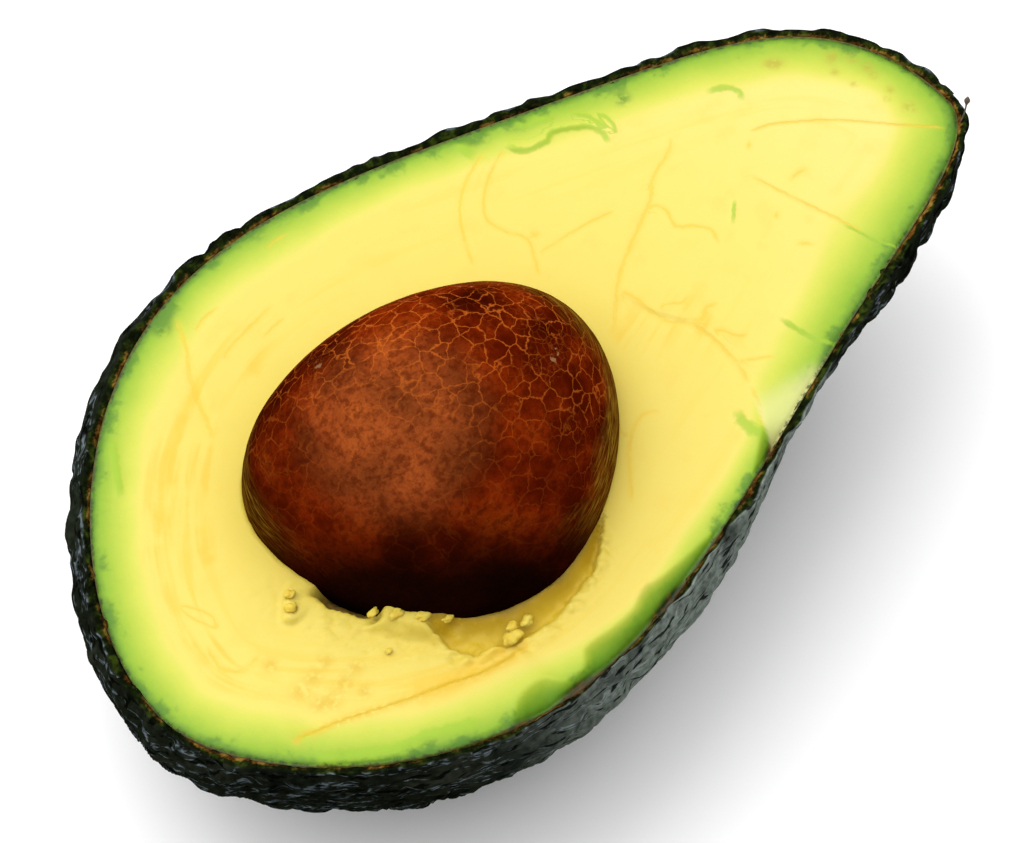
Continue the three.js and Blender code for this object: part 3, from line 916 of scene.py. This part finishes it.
# Pale yellow, a little deeper in the hollows of a fine noise
def crumbMaterial():
    material, start, shader, place = newMaterial("torn flesh", Specular_IOR_Level=0.3)
    fine = noise(start, place, 0.8, 4)
    colour = fine.ramp((0.3, seen(248, 206, 56)), (0.5, seen(254, 224, 82)), (0.7, seen(255, 236, 106)))
    feed(shader, Base_Color=colour, Roughness=0.5 + fine * 0.2, Normal=bump(start, fine, 0.15, 0.6))
    return material


# A fibre that ends in a drop: rings along a curved path, their radius first thin and then a bell
def makeShred(material):
    path = curveThrough([(53.6, -8.3, 34.4), (54.4, -8.0, 35.2), (55.0, -7.6, 35.9), (55.4, -7.3, 36.8)], 8)
    share = np.linspace(0, 1, len(path))[:, None]
    radius = 0.09 + 0.3 * np.exp(-(((share - 0.82) / 0.12) ** 2))
    radius = radius * smoothStep(0, 0.05, share + 0.02) * np.sqrt(np.clip(1 - share**8, 0, 1))
    turn = np.linspace(0, 2 * np.pi, 13)[None]
    ahead = np.gradient(path, axis=0)
    ahead = ahead / np.linalg.norm(ahead, axis=1, keepdims=True)
    across = np.cross(ahead, [0.0, 0.0, 1.0])
    across = across / np.linalg.norm(across, axis=1, keepdims=True)
    up = np.cross(across, ahead)
    rings = across[:, None] * np.cos(turn)[..., None] + up[:, None] * np.sin(turn)[..., None]
    points = path[:, None] + rings * radius[..., None]
    points[:, -1] = points[:, 0]
    points[0] = path[0]
    points[-1] = path[-1]
    layout = np.stack(np.broadcast_arrays(share, turn / (2 * np.pi)), -1)
    piece = makePiece("skin_shred", [{"points": points, "layout": layout}], material)
    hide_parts("skin")


# Dry brown, varied by a fine noise
def shredMaterial():
    material, start, shader, place = newMaterial("dry shred", Roughness=0.6)
    fine = noise(start, place, 0.5, 2)
    feed(shader, Base_Color=fine.ramp((0.3, paint(52, 34, 26)), (0.7, paint(98, 80, 66))))
    return material


cameraLook = {"azimuth": -40.5, "elevation": 64.0, "distance": 0.45, "lens": 152.7,
              "target": (-6.2 * mm, -4.3 * mm, cutHeight * mm)}
skyLook = {"brightest": (-0.05, 0.28, 0.96), "spread": (0.4, 1.0), "low": 0.34, "rise": 2.3}


# The camera stands back from its target by the distance, in the direction of the two angles
def placeCamera():
    azimuth, elevation = np.radians(cameraLook["azimuth"]), np.radians(cameraLook["elevation"])
    level = np.cos(elevation)
    back = Vector((np.sin(azimuth) * level, -np.cos(azimuth) * level, np.sin(elevation)))
    camera = bpy.data.objects.new("camera", bpy.data.cameras.new("camera"))
    camera.data.lens = cameraLook["lens"]
    camera.data.clip_start = 0.01
    camera.location = Vector(cameraLook["target"]) + back * cameraLook["distance"]
    camera.rotation_euler = back.to_track_quat("Z", "Y").to_euler()
    scene.collection.objects.link(camera)
    scene.camera = camera


# An area light at `place` that looks at the fruit
def addLight(name, place, size, power):
    light = bpy.data.objects.new(name, bpy.data.lights.new(name, "AREA"))
    light.data.shape = "RECTANGLE"
    light.data.size, light.data.size_y = size
    light.data.energy = power
    light.location = place
    aim = Vector(place) - Vector((0, 0, cutHeight * mm))
    light.rotation_euler = aim.to_track_quat("Z", "Y").to_euler()
    scene.collection.objects.link(light)


# A white floor, a grey sky and one light
def makeStage():
    mesh = bpy.data.meshes.new("floor")
    half = 3.0
    corners = [(-half, -half, 0), (half, -half, 0), (half, half, 0), (-half, half, 0)]
    mesh.from_pydata(corners, [], [(0, 1, 2, 3)])
    floor = bpy.data.objects.new("floor", mesh)
    scene.collection.objects.link(floor)
    white = (0.9, 0.9, 0.9, 1)
    material = newMaterial("white table", Base_Color=white, Specular_IOR_Level=0.2, Roughness=0.7)[0]
    mesh.materials.append(material)
    world = bpy.data.worlds.new("studio")
    world.use_nodes = True
    scene.world = world
    # a sky that is brightest overhead, a little to the back: low + rise * smooth(direction . brightest)
    background = world.node_tree.nodes["Background"]
    sky = Wire(world.node_tree)
    direction = sky.add("ShaderNodeTexCoord", take=0)
    inputs = {0: direction, 1: skyLook["brightest"]}
    facing = sky.add("ShaderNodeVectorMath", {"operation": "DOT_PRODUCT"}, inputs, take=1)
    strength = facing.between(*skyLook["spread"]) * skyLook["rise"] + skyLook["low"]
    background.inputs["Color"].default_value = (1, 1, 1, 1)
    world.node_tree.links.new(strength.socket, background.inputs["Strength"])
    addLight("key", (-0.06, 0.24, 0.80), (0.45, 0.45), 1.5)
    scene.view_settings.view_transform = "Standard"


placeCamera()
makeStage()
print("stage ready")
makeSkin(skinMaterial())
makeFlesh(fleshMaterial())
makeSeed(seedMaterial())
makeCrumbs(crumbMaterial())
makeShred(shredMaterial())
print("pieces ready")
